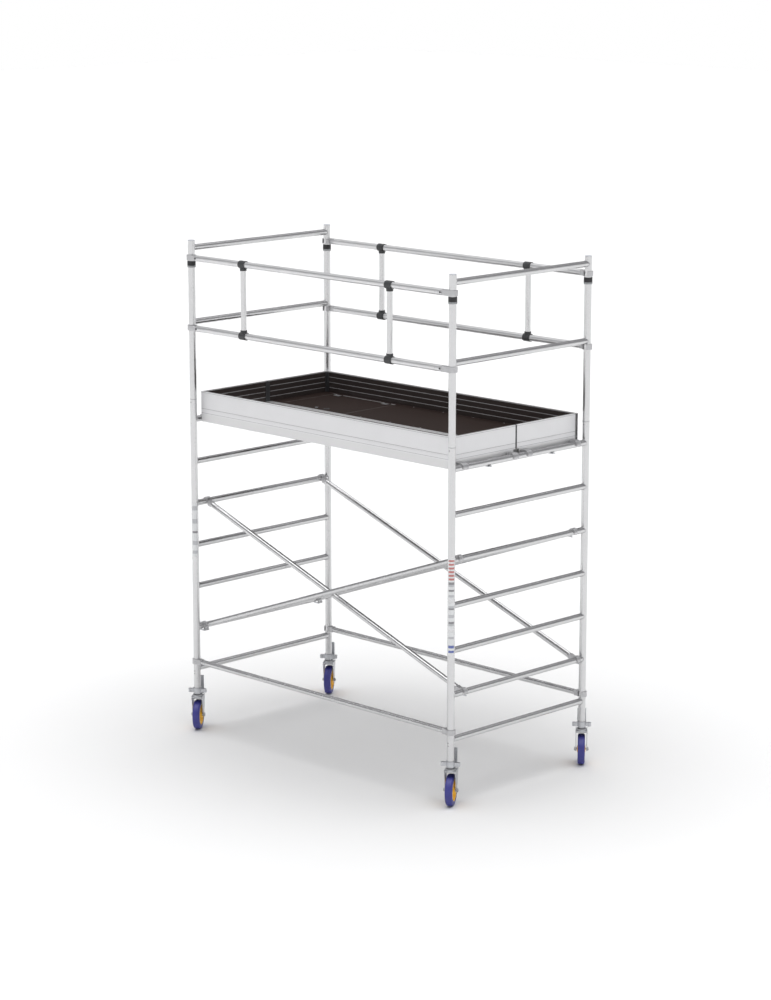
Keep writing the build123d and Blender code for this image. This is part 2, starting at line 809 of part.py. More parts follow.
def corner_box(sx, sy, low, high):
    """A box in the +X, +Y quarter, mirrored into the quarter of the two signs."""
    xs = sorted((sx * low[0], sx * high[0]))
    ys = sorted((sy * low[1], sy * high[1]))
    box_between((xs[0], ys[0], low[2]), (xs[1], ys[1], high[2]))


def make_platform_hooks():
    """Hooks that rest the platforms on the top rungs of both ladder frames."""
    bore = rung_r + tube_play
    outer = bore + hook_plate_wall
    arm_top = top_rung_z + outer
    places = [
        (side, centre + shift)
        for side in (-1, 1)
        for centre in wind_lock_places()
        for shift in (-hook_spacing / 2, hook_spacing / 2)
    ]
    with BuildPart() as hooks:
        for side, y in places:
            plane = Plane(
                origin=(side * half_length, y, top_rung_z), x_dir=(-side, 0, 0), z_dir=(0, side, 0)
            )
            with BuildSketch(plane):
                Circle(outer)
                with Locations((platform_inset / 2, outer - hook_plate_arm / 2)):
                    Rectangle(platform_inset, hook_plate_arm)
                Circle(bore, mode=Mode.SUBTRACT)
                with Locations((0, -outer - hook_lip)):
                    Rectangle(3 * outer, 2 * outer, mode=Mode.SUBTRACT)
            extrude(amount=hook_plate_width / 2, both=True)
    save(hooks, "platform_hooks")


def castor_planes(name):
    """Planes of one castor: level, seen from above, and upright, through its wheel's middle.

    Both have their origin on the floor under the leg and local X towards the brake pedal.
    """
    x, y = corners[name]
    heading = radians(castor_headings[name])
    ahead = (-sin(heading), cos(heading), 0)
    across = (cos(heading), sin(heading), 0)
    level = Plane(origin=(x, y, 0), x_dir=ahead, z_dir=(0, 0, 1))
    upright = Plane(origin=(x, y, 0), x_dir=ahead, z_dir=across)
    return level, upright


def make_leg(level, name):
    """The adjustable spindle with its swivel flange and kingpin, and the wing nut on it."""
    with BuildPart() as spindle:
        for low_z, radius, height in (
            (flange_z + tube_play, head_d / 2 - 3.0, spindle_flange),
            (flange_z + spindle_flange, spindle_d / 2, spindle_length),
            (crown_z - tube_play, kingpin_d / 2, crown_plate + head_height + 1.0),
            (crown_z - tube_play - kingpin_head, kingpin_head_d / 2, kingpin_head),
        ):
            with BuildSketch(level.offset(low_z)):
                Circle(radius)
            extrude(amount=height)
        tops = spindle.edges().filter_by(GeomType.CIRCLE).group_by(Axis.Z)[-1]
        chamfer(tops, length=3.0)
    save(spindle, f"{name}_spindle")

    with BuildPart() as nut:
        with BuildSketch(level.offset(nut_z)):
            Circle(upright_r + nut_wall)
        extrude(amount=nut_height)
        with BuildSketch(level.offset(nut_z + 4.0)):
            Rectangle(wing_width, wing_span)
            with Locations((0, (wing_span - wing_width) / 2), (0, -(wing_span - wing_width) / 2)):
                Circle(wing_width / 2 + 3.0)
        extrude(amount=wing_height)
        with BuildSketch(level.offset(nut_z)):
            Circle(spindle_d / 2 + thread_play)
        extrude(amount=nut_height, mode=Mode.SUBTRACT)
    save(nut, f"{name}_wing_nut")


def cheek_points():
    """Corners of a fork cheek: crown, axle boss and the lobe that holds the pedal's pin."""
    boss = 17.0
    top = crown_z + crown_plate
    lobe_x, lobe_z = pedal_pivot()
    angles = [radians(180 + 22.5 * k) for k in range(9)]
    round_boss = [(castor_trail + boss * cos(a), wheel_r + boss * sin(a)) for a in angles]
    front = (crown_shift - crown_length / 2 + 12.0, top)
    return [front, *round_boss, (lobe_x + 10.0, lobe_z - 12.0), (lobe_x + 10.0, top)]


def make_fork(level, upright, name):
    """Swivel head, crown, two cheeks and the axle bolt through them."""
    outside = fork_gap / 2 + fork_plate
    axle = (castor_trail, wheel_r)
    with BuildPart() as fork:
        with BuildSketch(level.offset(crown_z)):
            with Locations((crown_shift, 0)):
                RectangleRounded(crown_length, 2 * outside, 12.0)
        extrude(amount=crown_plate)
        with BuildSketch(level.offset(head_z)):
            Circle(head_d / 2)
        extrude(amount=head_height)
        with BuildSketch(level.offset(crown_z)):
            Circle(kingpin_d / 2 + running_clearance)
        extrude(amount=crown_plate + head_height, mode=Mode.SUBTRACT)
        for side in (-1, 1):
            with BuildSketch(upright.offset(side * fork_gap / 2)):
                with BuildLine():
                    Polyline(*cheek_points(), close=True)
                make_face()
            extrude(amount=side * fork_plate)
        with BuildSketch(upright.offset(-outside - 1.0)):
            with Locations(axle):
                Circle(axle_d / 2 + running_clearance)
            with Locations(pedal_pivot()):
                Circle(pedal_pin_d / 2)
        extrude(amount=2 * outside + 2.0, mode=Mode.SUBTRACT)
        with BuildSketch(upright.offset(-outside)):
            with Locations(pedal_pivot()):
                Circle(pedal_pin_d / 2)
        extrude(amount=2 * outside)
        with BuildSketch(upright.offset(-outside - 2.0)):
            with Locations(axle):
                Circle(axle_d / 2)
        extrude(amount=2 * outside + 4.0)
        for side in (-1, 1):
            with BuildSketch(upright.offset(side * (outside + tube_play))):
                with Locations(axle):
                    RegularPolygon(axle_head_d / 2, 6)
            extrude(amount=side * axle_head)
            with BuildSketch(upright.offset(side * (outside + tube_play + axle_head))):
                with Locations(axle):
                    Circle(axle_d / 2)
            extrude(amount=side * 3.0)
    save(fork, f"{name}_fork")


def pedal_pivot():
    """Local X and height of the brake pedal's pin."""
    return pedal_pivot_x, crown_z - pedal_pivot_drop


def make_wheel(upright, name):
    """Rim and tyre, turned round the axle."""
    centre = Plane(
        origin=upright.from_local_coords((castor_trail, wheel_r, 0)),
        x_dir=upright.z_dir, z_dir=-upright.x_dir,
    )
    axis = Axis(origin=centre.origin, direction=upright.z_dir)
    rim_r = rim_d / 2
    with BuildPart() as rim:
        with BuildSketch(centre):
            for width, inner, outer in (
                (hub_width, 0.0, hub_d / 2),
                (rim_web, 0.0, rim_r),
                (rim_width, rim_r - rim_flange, rim_r),
            ):
                with Locations((0, (inner + outer) / 2)):
                    Rectangle(width, outer - inner)
            with Locations((0, 0)):
                Rectangle(hub_width + 2.0, axle_d + 2 * running_clearance, mode=Mode.SUBTRACT)
        revolve(axis=axis)
    save(rim, f"{name}_rim")
    with BuildPart() as tyre:
        with BuildSketch(centre) as tyre_section:
            with Locations((0, (rim_r + wheel_r) / 2)):
                Rectangle(tyre_width, wheel_r - rim_r)
            fillet(tyre_section.vertices().group_by(Axis.Y)[-1], radius=tyre_round)
        revolve(axis=axis)
    save(tyre, f"{name}_tyre")


def make_pedal(level, upright, name):
    """Brake pedal: hub, shoe over the tyre, foot pad and the upright release pad."""
    pivot = pedal_pivot()
    to_wheel = degrees(atan2(wheel_r - pivot[1], castor_trail - pivot[0]))
    hub_half = fork_gap / 2 - 1.0
    release_top = pivot[1] + release_pad_height
    with BuildPart() as pedal:
        with BuildSketch(upright.offset(-hub_half)):
            with Locations(pivot):
                Circle(pedal_hub_d / 2)
            with Locations(Location(pivot, to_wheel)):
                with Locations((shoe_reach / 2, 0)):
                    Rectangle(shoe_reach, shoe_width)
        extrude(amount=2 * hub_half)
        with BuildSketch(upright.offset(-pedal_arm / 2)):
            with Locations((pedal_arm_middle(), pivot[1] + pedal_hub_d / 2 + pedal_plate / 2)):
                Rectangle(pedal_pad_x - pivot[0] + 2 * pedal_plate, pedal_plate)
            with Locations((pivot[0], pivot[1] + pedal_hub_d / 4)):
                Rectangle(pedal_hub_d * 0.8, pedal_hub_d / 2 + pedal_plate)
        extrude(amount=pedal_arm)
        with BuildSketch(upright.offset(-release_pad_width / 2)):
            with Locations((pedal_pad_x, (pad_low() + release_top) / 2)):
                Rectangle(pedal_plate, release_top - pad_low())
        extrude(amount=release_pad_width)
        with BuildSketch(foot_pad_plane(level)) as foot_pad:
            with Locations((foot_pad_length() / 2, 0)):
                Rectangle(foot_pad_length(), pedal_width)
            fillet(foot_pad.vertices().group_by(Axis.X)[-1], radius=pedal_corner)
        extrude(amount=pedal_plate)
        with BuildSketch(upright.offset(-fork_gap)):
            with Locations(pivot):
                Circle(pedal_pin_d / 2 + running_clearance)
        extrude(amount=2 * fork_gap, mode=Mode.SUBTRACT)
    save(pedal, f"{name}_brake_pedal")


def pad_low():
    """Underside of the pedal's arm and foot pad."""
    return pedal_pivot()[1] + pedal_hub_d / 2


def foot_pad_length():
    """Length of the foot pad along its slope."""
    return hypot(pedal_reach - pedal_pad_x + pedal_plate / 2, pedal_drop)


def foot_pad_plane(level):
    """Underside of the foot pad: origin in the middle of its inner edge, local X outward."""
    inner_x = pedal_pad_x - pedal_plate / 2
    slope = atan2(pedal_drop, pedal_reach - inner_x)
    rise = Vector(0, 0, 1)
    return Plane(
        origin=level.origin + level.x_dir * inner_x + rise * (pad_low() + foot_pad_rise),
        x_dir=level.x_dir * cos(slope) + rise * sin(slope),
        z_dir=rise * cos(slope) - level.x_dir * sin(slope),
    )


def pedal_arm_middle():
    """Local X of the middle of the pedal's arm."""
    return (pedal_pivot_x + pedal_pad_x) / 2


def make_castors():
    """One adjustable leg and braked castor under each upright."""
    for name in corners:
        level, upright = castor_planes(name)
        make_leg(level, name)
        make_fork(level, upright, name)
        make_wheel(upright, name)
        make_pedal(level, upright, name)


os.makedirs("parts", exist_ok=True)
make_frames()
make_guardrails()
make_low_braces()
make_snap_claws()
make_diagonals()
make_platforms()
make_platform_hooks()
make_trapdoor()
make_toe_boards()
make_castors()
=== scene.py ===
"""Looks of the rolling work tower: materials for its CAD nodes and the small pieces on them."""
from math import cos, pi, radians, sin, sqrt

import bmesh
import bpy
from mathutils import Matrix, Vector


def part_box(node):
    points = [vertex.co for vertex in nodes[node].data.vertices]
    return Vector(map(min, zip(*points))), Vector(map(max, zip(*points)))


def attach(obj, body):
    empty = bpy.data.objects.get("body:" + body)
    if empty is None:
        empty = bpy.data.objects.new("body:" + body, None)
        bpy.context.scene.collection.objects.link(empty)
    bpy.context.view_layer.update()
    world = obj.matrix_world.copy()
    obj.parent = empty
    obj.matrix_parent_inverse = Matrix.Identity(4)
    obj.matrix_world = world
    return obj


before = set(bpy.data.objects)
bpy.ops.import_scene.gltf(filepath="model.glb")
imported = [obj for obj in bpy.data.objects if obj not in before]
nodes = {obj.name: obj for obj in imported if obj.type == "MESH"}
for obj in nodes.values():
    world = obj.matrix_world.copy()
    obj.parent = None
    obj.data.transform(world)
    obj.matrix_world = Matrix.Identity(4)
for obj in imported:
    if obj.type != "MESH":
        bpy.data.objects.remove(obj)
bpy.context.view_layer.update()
scene = bpy.context.scene

TOWER = "tower"
POST_RADIUS = 0.02415
RUNG_RADIUS = 0.021
RAIL_RADIUS = 0.0212

# Castors, each in its own frame: X towards the pedal, Y across, Z up from the floor
AXLE = (0.020, 0, 0.106)
RIM_FACE = 0.0198  # from the wheel's middle plane
FORK_FACE = 0.0395  # from the wheel's middle plane
CROWN_TOP = 0.2479
PAD_EDGE = (0.081, 0, 0.2625)  # inner edge of the foot pad's underside
PAD_SLOPE = radians(18.0)
HEADINGS = {  # where the pedals point, degrees from +Y towards -X
    "front_left": 37.0, "front_right": 33.0, "rear_left": 36.0, "rear_right": 41.0,
}


def post_axes():
    """Each upright's axis in plan, by the name of its corner."""
    low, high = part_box("uprights")
    x, y = high.x - POST_RADIUS, high.y - POST_RADIUS
    return {
        "front_left": (-x, -y), "front_right": (x, -y), "rear_left": (-x, y), "rear_right": (x, y),
    }


CORNERS = post_axes()


# ---------------------------------------------------------------- camera, light and floor

def look(place, azimuth, fall):
    """Rotation of a camera that looks azimuth degrees left of +Y and fall degrees down."""
    a, e = radians(azimuth), radians(fall)
    way = Vector((-sin(a) * cos(e), cos(a) * cos(e), -sin(e)))
    return Matrix.Translation(place) @ way.to_track_quat("-Z", "Y").to_matrix().to_4x4()


def make_camera():
    """A long lens, well back from the tower's front right corner."""
    data = bpy.data.cameras.new("camera")
    data.lens = 104.4
    data.sensor_width = 36.0
    data.clip_end = 200.0
    camera = bpy.data.objects.new("camera", data)
    scene.collection.objects.link(camera)
    camera.matrix_world = look(Vector((13.817, -13.823, 5.958)), 44.99, 12.10)
    scene.camera = camera


class Value:
    """A socket in a node tree; arithmetic on it adds Math nodes."""

    def __init__(self, tree, socket):
        self.tree = tree
        self.socket = socket

    def _math(self, operation, *inputs):
        node = self.tree.nodes.new("ShaderNodeMath")
        node.operation = operation
        for socket, value in zip(node.inputs, inputs):
            if isinstance(value, Value):
                self.tree.links.new(value.socket, socket)
            else:
                socket.default_value = value
        return Value(self.tree, node.outputs[0])

    def __add__(self, other):
        return self._math("ADD", self, other)

    __radd__ = __add__

    def __sub__(self, other):
        return self._math("SUBTRACT", self, other)

    def __rsub__(self, other):
        return self._math("SUBTRACT", other, self)

    def __mul__(self, other):
        return self._math("MULTIPLY", self, other)

    __rmul__ = __mul__

    def __truediv__(self, other):
        return self._math("DIVIDE", self, other)

    def __abs__(self):
        return self._math("ABSOLUTE", self)

    def above(self, level):
        """1 where the value is more than level, and 0 elsewhere."""
        return self._math("GREATER_THAN", self, level)

    def clamp(self):
        """The value kept between 0 and 1."""
        return self._math("MAXIMUM", self._math("MINIMUM", self, 1.0), 0.0)

    def wave(self, pitch):
        """A sine from 0 to 1 that repeats every pitch."""
        return self._math("SINE", self * (2 * pi / pitch)) * 0.5 + 0.5


class Shader:
    """A node tree being built for a material or the world."""

    def __init__(self, tree):
        tree.nodes.clear()
        self.tree = tree

    def node(self, kind, settings=None, output=0, **inputs):
        """Add a node with its settings first, then its sockets, and return one of its outputs."""
        made = self.tree.nodes.new("ShaderNode" + kind)
        for name, value in (settings or {}).items():
            if name == "stops":
                self._stops(made.color_ramp, value)
            elif name == "bands":
                made.color_ramp.interpolation = "CONSTANT"
                self._stops(made.color_ramp, value)
            else:
                setattr(made, name, value)
        for name, value in inputs.items():
            socket = self._socket(made, name)
            if isinstance(value, Value):
                self.tree.links.new(value.socket, socket)
            else:
                socket.default_value = value
        if not made.outputs:
            return None
        key = output if isinstance(output, int) else self._output(made, output)
        return Value(self.tree, made.outputs[key])

    @staticmethod
    def _socket(made, name):
        """The enabled input called name, with _ for a space, or its number after in."""
        if name.startswith("in") and name[2:].isdigit():
            return made.inputs[int(name[2:])]
        wanted = name.replace("_", " ")
        for socket in made.inputs:
            if socket.enabled and socket.name == wanted:
                return socket
        raise KeyError(f"{made.bl_idname} has no input {wanted}")

    @staticmethod
    def _output(made, name):
        return next(k for k, socket in enumerate(made.outputs) if socket.name == name)

    @staticmethod
    def _stops(ramp, stops):
        while len(ramp.elements) < len(stops):
            ramp.elements.new(0.5)
        for element, (place, colour) in zip(ramp.elements, stops):
            element.position = place
            element.color = (*colour, 1.0)

    def place(self):
        """Position in the tower's own frame at rest, in metres."""
        return self.node("TexCoord", output="Object")

    def axes(self):
        """The three coordinates of that position."""
        made = self.tree.nodes.new("ShaderNodeSeparateXYZ")
        self.tree.links.new(self.place().socket, made.inputs[0])
        return [Value(self.tree, socket) for socket in made.outputs]

    def stretched(self, scale):
        """Position with each axis scaled."""
        return self.node("VectorMath", {"operation": "MULTIPLY"}, in0=self.place(), in1=scale)

    def noise(self, scale, detail=3.0, stretch=(1, 1, 1), rough=0.55):
        """Noise from 0 to 1 of about scale features to the metre, stretched along an axis."""
        return self.node(
            "TexNoise", Vector=self.stretched(stretch), Scale=scale, Detail=detail, Roughness=rough
        )

    def blend(self, factor, first, second):
        """Colour first where factor is 0, second where it is 1."""
        return self.node(
            "Mix", {"data_type": "RGBA"}, output=2, in0=factor, in6=first, in7=second
        )

    def bump(self, height, distance, strength=1.0, normal=None):
        """Normal of a surface raised by height times distance, in metres."""
        more = {"Normal": normal} if normal else {}
        return self.node("Bump", Height=height, Distance=distance, Strength=strength, **more)


def rgb(red, green, blue):
    """A colour with its alpha."""
    return (red, green, blue, 1.0)


def make_world():
    """A soft white studio: bright overhead, greyer higher up its walls and away from the front."""
    world = bpy.data.worlds.new("studio")
    scene.world = world
    world.use_nodes = True
    shader = Shader(world.node_tree)
    direction = shader.node("TexCoord", output="Generated")
    parts = shader.tree.nodes.new("ShaderNodeSeparateXYZ")
    shader.tree.links.new(direction.socket, parts.inputs[0])
    x, y, height = [Value(shader.tree, socket) for socket in parts.outputs]
    glow = shader.node(
        "ValToRGB",
        {"stops": [
            (0.0, (1.0, 1.0, 1.0)), (0.50, (1.0, 1.0, 1.0)), (0.56, (0.90, 0.90, 0.91)),
            (0.62, (0.40, 0.40, 0.41)), (0.80, (0.24, 0.24, 0.25)), (0.89, (0.80, 0.80, 0.81)),
            (0.92, (2.9, 2.9, 2.9)), (1.0, (3.1, 3.1, 3.1)),
        ]},
        Fac=height * 0.5 + 0.5,
    )
    towards_front_right = (x - y) * sqrt(0.5)
    glow = shader.node(
        "Mix", {"data_type": "RGBA", "blend_type": "MULTIPLY"}, output=2,
        in0=1.0, in6=glow, in7=towards_front_right * 0.17 + 0.93,
    )
    seen = shader.node("LightPath", output="Is Camera Ray")
    colour = shader.blend(seen, glow, rgb(1.0, 1.0, 1.0))
    background = shader.node("Background", Color=colour, Strength=1.0)
    shader.node("OutputWorld", Surface=background)
    scene.view_settings.view_transform = "Standard"


def make_floor():
    """A wide pale floor, a little greyer under the tower: a painted shadow."""
    mesh = bpy.data.meshes.new("floor")
    reach = 60.0
    mesh.from_pydata(
        [(-reach, -reach, 0), (reach, -reach, 0), (reach, reach, 0), (-reach, reach, 0)],
        [], [(0, 1, 2, 3)],
    )
    floor = bpy.data.objects.new("floor", mesh)
    scene.collection.objects.link(floor)
    material = bpy.data.materials.new("pale_floor")
    material.use_nodes = True
    shader = Shader(material.node_tree)
    away = shader.node("VectorMath", {"operation": "LENGTH"}, output="Value", in0=shader.place())
    grain = shader.noise(3.0, 2.0)
    # Painted shadow: the colour darkens within 1.2 m of the tower's middle and lightens out to 4.8 m; the
    # faint grain is random.
    clear_of_painted_shadow = ((away - 1.2) / 3.6).clamp() * 0.97 + grain * 0.03
    colour = shader.blend(clear_of_painted_shadow, rgb(0.77, 0.77, 0.77), rgb(0.92, 0.92, 0.92))
    surface = shader.node("BsdfPrincipled", Base_Color=colour, Roughness=0.9)
    shader.node("OutputMaterial", Surface=surface)
    mesh.materials.append(material)


# ---------------------------------------------------------------- materials

def new_material(name):
    """An empty material and the shader to build it with."""
    material = bpy.data.materials.new(name)
    material.use_nodes = True
    return material, Shader(material.node_tree)


def finish_material(shader, **sockets):
    """Join a Principled surface with these sockets to the material's output."""
    surface = shader.node("BsdfPrincipled", **sockets)
    shader.node("OutputMaterial", Surface=surface)


def drawn_aluminium(name, along, tint=0.645, rough=0.15):
    """Bright extruded tube: die lines along it, faint handling marks and a dull mottle."""
    material, shader = new_material(name)
    fine, slow = 900.0, 4.0
    stretch = [fine, fine, fine]
    stretch[along] = slow
    lines = shader.noise(1.0, 4.0, stretch)
    mottle = shader.noise(14.0, 4.0)
    scuffs = (shader.noise(60.0, 6.0) - 0.62).clamp() * 4.0
    dull = rgb(tint * 0.90, tint * 0.90, tint * 0.91)
    bright = rgb(tint * 1.04, tint * 1.04, tint * 1.05)
    finish_material(
        shader,
        Base_Color=shader.blend(mottle * 0.6 + lines * 0.4, dull, bright),
        Metallic=0.92,
        Roughness=(rough + lines * 0.07 + mottle * 0.06 + scuffs * 0.15).clamp(),
        Normal=shader.bump(lines, 0.000015),
    )
    return material


def satin_extrusion(name, tint=0.70):
    """Matt anodised beam: long die lines and cloudy patches."""
    material, shader = new_material(name)
    lines = shader.noise(1.0, 4.0, [3.0, 500.0, 500.0])
    cloud = shader.noise(5.0, 3.0)
    finish_material(
        shader,
        Base_Color=shader.blend(cloud, rgb(tint * 0.93, tint * 0.93, tint * 0.94), rgb(tint, tint, tint)),
        Metallic=0.75,
        Roughness=(lines * 0.10 + 0.34 + cloud * 0.06).clamp(),
        Normal=shader.bump(lines, 0.00005),
    )
    return material


def cast_aluminium(name):
    """Pressure casting: slightly grainy skin, greyer in patches."""
    material, shader = new_material(name)
    grain = shader.noise(900.0, 3.0)
    cloud = shader.noise(22.0, 4.0)
    finish_material(
        shader,
        Base_Color=shader.blend(cloud, rgb(0.44, 0.44, 0.45), rgb(0.58, 0.58, 0.59)),
        Metallic=0.85,
        Roughness=(grain * 0.15 + cloud * 0.10 + 0.30).clamp(),
        Normal=shader.bump(grain, 0.00015),
    )
    return material


def galvanised(name):
    """Zinc plating: small spangles with soft edges."""
    material, shader = new_material(name)
    spangle = shader.node(
        "TexVoronoi", {"feature": "F1"}, output="Color", Vector=shader.place(), Scale=160.0
    )
    tone = shader.node("RGBToBW", Color=spangle)
    cloud = shader.noise(30.0, 3.0)
    finish_material(
        shader,
        Base_Color=shader.blend(
            tone * 0.5 + cloud * 0.5, rgb(0.44, 0.45, 0.47), rgb(0.58, 0.59, 0.61)
        ),
        Metallic=0.9,
        Roughness=(tone * 0.08 + 0.28).clamp(),
        Normal=shader.bump(tone, 0.00004),
    )
    return material


def dark_steel(name):
    """Blackened rivet steel with brighter rubbed spots."""
    material, shader = new_material(name)
    rub = shader.noise(120.0, 4.0)
    finish_material(
        shader,
        Base_Color=shader.blend(rub, rgb(0.05, 0.05, 0.055), rgb(0.16, 0.16, 0.17)),
        Metallic=0.7,
        Roughness=(rub * 0.2 + 0.35).clamp(),
        Normal=shader.bump(rub, 0.0001),
    )
    return material


def moulded_plastic(name, dark, light, rough=0.42, grain_depth=0.00012):
    """Moulded part with a fine eroded grain and uneven sheen."""
    material, shader = new_material(name)
    grain = shader.noise(1400.0, 2.0)
    cloud = shader.noise(18.0, 3.0)
    finish_material(
        shader,
        Base_Color=shader.blend(cloud, rgb(*dark), rgb(*light)),
        Roughness=(cloud * 0.12 + grain * 0.10 + rough).clamp(),
        Normal=shader.bump(grain, grain_depth),
    )
    return material


def stop_collar_rubber(name):
    """Black rubber collar with a paler lip at its lower edge."""
    material, shader = new_material(name)
    z = shader.axes()[2]
    lip_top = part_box("stop_collars")[0].z + 0.013
    lip = (lip_top - z) * 2000.0
    grain = shader.noise(900.0, 2.0)
    finish_material(
        shader,
        Base_Color=shader.blend(lip.clamp(), rgb(0.022, 0.022, 0.024), rgb(0.30, 0.31, 0.32)),
        Roughness=(grain * 0.2 + 0.45).clamp(),
        Normal=shader.bump(grain, 0.0001),
    )
    return material


def phenolic_board(name):
    """Dark film-faced plywood: a fine pressed mesh, faint scuffs and a brown cast."""
    material, shader = new_material(name)
    x, y = shader.axes()[:2]
    mesh_pitch = 0.006
    weave = x.wave(mesh_pitch) * y.wave(mesh_pitch)
    cloud = shader.noise(3.5, 5.0)
    scuffs = (shader.noise(26.0, 7.0, (1, 3, 1)) - 0.60).clamp() * 3.0
    finish_material(
        shader,
        Base_Color=shader.blend(
            cloud * 0.7 + scuffs * 0.5, rgb(0.018, 0.011, 0.009), rgb(0.031, 0.020, 0.017)
        ),
        Roughness=(cloud * 0.10 + scuffs * 0.2 + 0.55).clamp(),
        Specular_IOR_Level=0.10,
        Normal=shader.bump(weave, 0.0004),
    )
    return material


def toe_board_metal(name):
    """Anodised toe board: satin outside with painted shade along each groove, and a shiny inside painted
    dark as a reflection of the deck, with painted highlights on its raised lines.
    """
    material, shader = new_material(name)
    x, y, z = shader.axes()
    low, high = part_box("toe_boards")

    def lengthwise(half_width, shares):
        """1 on lines at these shares of the board's height."""
        drawn = 0.0
        for share in shares:
            drawn = (half_width - abs(z - (low.z + (high.z - low.z) * share))).above(0.0) + drawn
        return drawn.clamp()

    outside = (abs(y).above(high.y - 0.011) + abs(x).above(high.x - 0.011)).clamp()
    inside = 1.0 - outside
    # Painted highlights: pale lines on the inside where its raised lines catch the light.
    painted_ridge_highlights = lengthwise(0.0022, (0.28, 0.52, 0.76, 0.985))
    lines = shader.noise(1.0, 4.0, [3.0, 3.0, 700.0])
    cloud = shader.noise(5.0, 3.0)
    # Painted shade: dark lines on the outside where each groove lies.
    painted_groove_shade = lengthwise(0.0012, (0.05, 0.24, 0.96))
    satin = shader.blend(cloud, rgb(0.69, 0.69, 0.70), rgb(0.75, 0.75, 0.76))
    satin = shader.blend(painted_groove_shade, satin, rgb(0.36, 0.36, 0.37))
    # Inside colour: a painted dark reflection of the deck, with the painted highlights on its raised
    # lines.
    painted_inside_reflections = shader.blend(painted_ridge_highlights, rgb(0.085, 0.070, 0.066), rgb(0.72, 0.72, 0.73))
    finish_material(
        shader,
        Base_Color=shader.blend(inside, satin, painted_inside_reflections),
        Metallic=(outside * 0.20 + 0.55).clamp(),
        Roughness=(outside * 0.22 + lines * 0.08 + cloud * 0.05 + 0.16).clamp(),
        Normal=shader.bump(lines, 0.00005),
    )
    return material


def hatch_frame_metal(name):
    """Frame of the trapdoor: bright along its hinges, dark filmed on its other sides."""
    material, shader = new_material(name)
    y = shader.axes()[1]
    frame_bar = 0.0125
    hinge_side = y.above(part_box("hatch_frame")[1].y - frame_bar)
    cloud = shader.noise(20.0, 4.0)
    metal = shader.blend(cloud, rgb(0.52, 0.52, 0.53), rgb(0.66, 0.66, 0.67))
    finish_material(
        shader,
        Base_Color=shader.blend(hinge_side, rgb(0.035, 0.026, 0.023), metal),
        Metallic=hinge_side * 0.8,
        Roughness=(cloud * 0.15 + 0.38).clamp(),
        Normal=shader.bump(cloud, 0.0001),
    )
    return material


def threaded_zinc(name, place):
    """Zinc-plated spindle with a coarse rolled thread round the axis through place."""
    material, shader = new_material(name)
    x, y, z = shader.axes()
    lead = 0.010
    turn = shader.node(
        "Math", {"operation": "ARCTAN2"}, in0=y - place[1], in1=x - place[0]
    ) * (lead / (2 * pi))
    thread = (z + turn).wave(lead)
    oil = shader.noise(60.0, 4.0)
    finish_material(
        # Painted shade and highlights: the colour is darker in the thread's troughs and lighter on its
        # crests, with a random oil mottle.
        shader,
        Base_Color=shader.blend(
            thread * 0.6 + oil * 0.4, rgb(0.30, 0.30, 0.31), rgb(0.72, 0.73, 0.75)
        ),
        Metallic=0.9,
        Roughness=(oil * 0.2 + 0.26).clamp(),
        Normal=shader.bump(thread, 0.0012),
    )
    return material


def printed_label(name, low_z, high_z, bands):
    """Vinyl label with plain blocks of colour up its height and soft scuffs over it."""
    material, shader = new_material(name)
    z = shader.axes()[2]
    height = (z - low_z) / (high_z - low_z)
    blocks = shader.node("ValToRGB", {"bands": bands}, Fac=height)
    scuffs = (shader.noise(160.0, 5.0) - 0.58).clamp() * 3.0
    finish_material(
        shader,
        Base_Color=shader.blend(scuffs.clamp() * 0.7, blocks, rgb(0.62, 0.63, 0.65)),
        Roughness=(scuffs * 0.2 + 0.32).clamp(),
        Normal=shader.bump(scuffs, 0.00005),
    )
    return material


def tyre_polyurethane(name):
    """Blue polyurethane with a soft bloom and a trace of dust."""
    material, shader = new_material(name)
    cloud = shader.noise(24.0, 4.0)
    grain = shader.noise(700.0, 2.0)
    dust = (shader.noise(55.0, 6.0) - 0.55).clamp() * 1.6
    finish_material(
        shader,
        Base_Color=shader.blend(
            cloud * 0.6 + dust * 0.4, rgb(0.035, 0.036, 0.215), rgb(0.062, 0.064, 0.31)
        ),
        Roughness=(cloud * 0.12 + grain * 0.08 + dust * 0.2 + 0.34).clamp(),
        Normal=shader.bump(grain, 0.00012),
    )
    return material


def rim_polyamide(name):
    """Yellow-orange moulded rim."""
    material, shader = new_material(name)
    cloud = shader.noise(30.0, 3.0)
    grain = shader.noise(900.0, 2.0)
    finish_material(
        shader,
        Base_Color=shader.blend(cloud, rgb(0.90, 0.50, 0.030), rgb(0.96, 0.60, 0.06)),
        Roughness=(cloud * 0.12 + grain * 0.08 + 0.34).clamp(),
        Normal=shader.bump(grain, 0.0001),
    )
    return material


def dress(names, material):
    """Give CAD nodes a material."""
    for name in names:
        mesh = nodes[name].data
        mesh.materials.clear()
        mesh.materials.append(material)
        mesh.polygons.foreach_set("material_index", [0] * len(mesh.polygons))


def smooth_by_angle(mesh, limit=28.0):
    """Shade smooth across edges that turn less than limit degrees."""
    work = bmesh.new()
    work.from_mesh(mesh)
    for face in work.faces:
        face.smooth = True
    for edge in work.edges:
        edge.smooth = edge.is_manifold and edge.calc_face_angle(pi) < radians(limit)
    work.to_mesh(mesh)
    work.free()


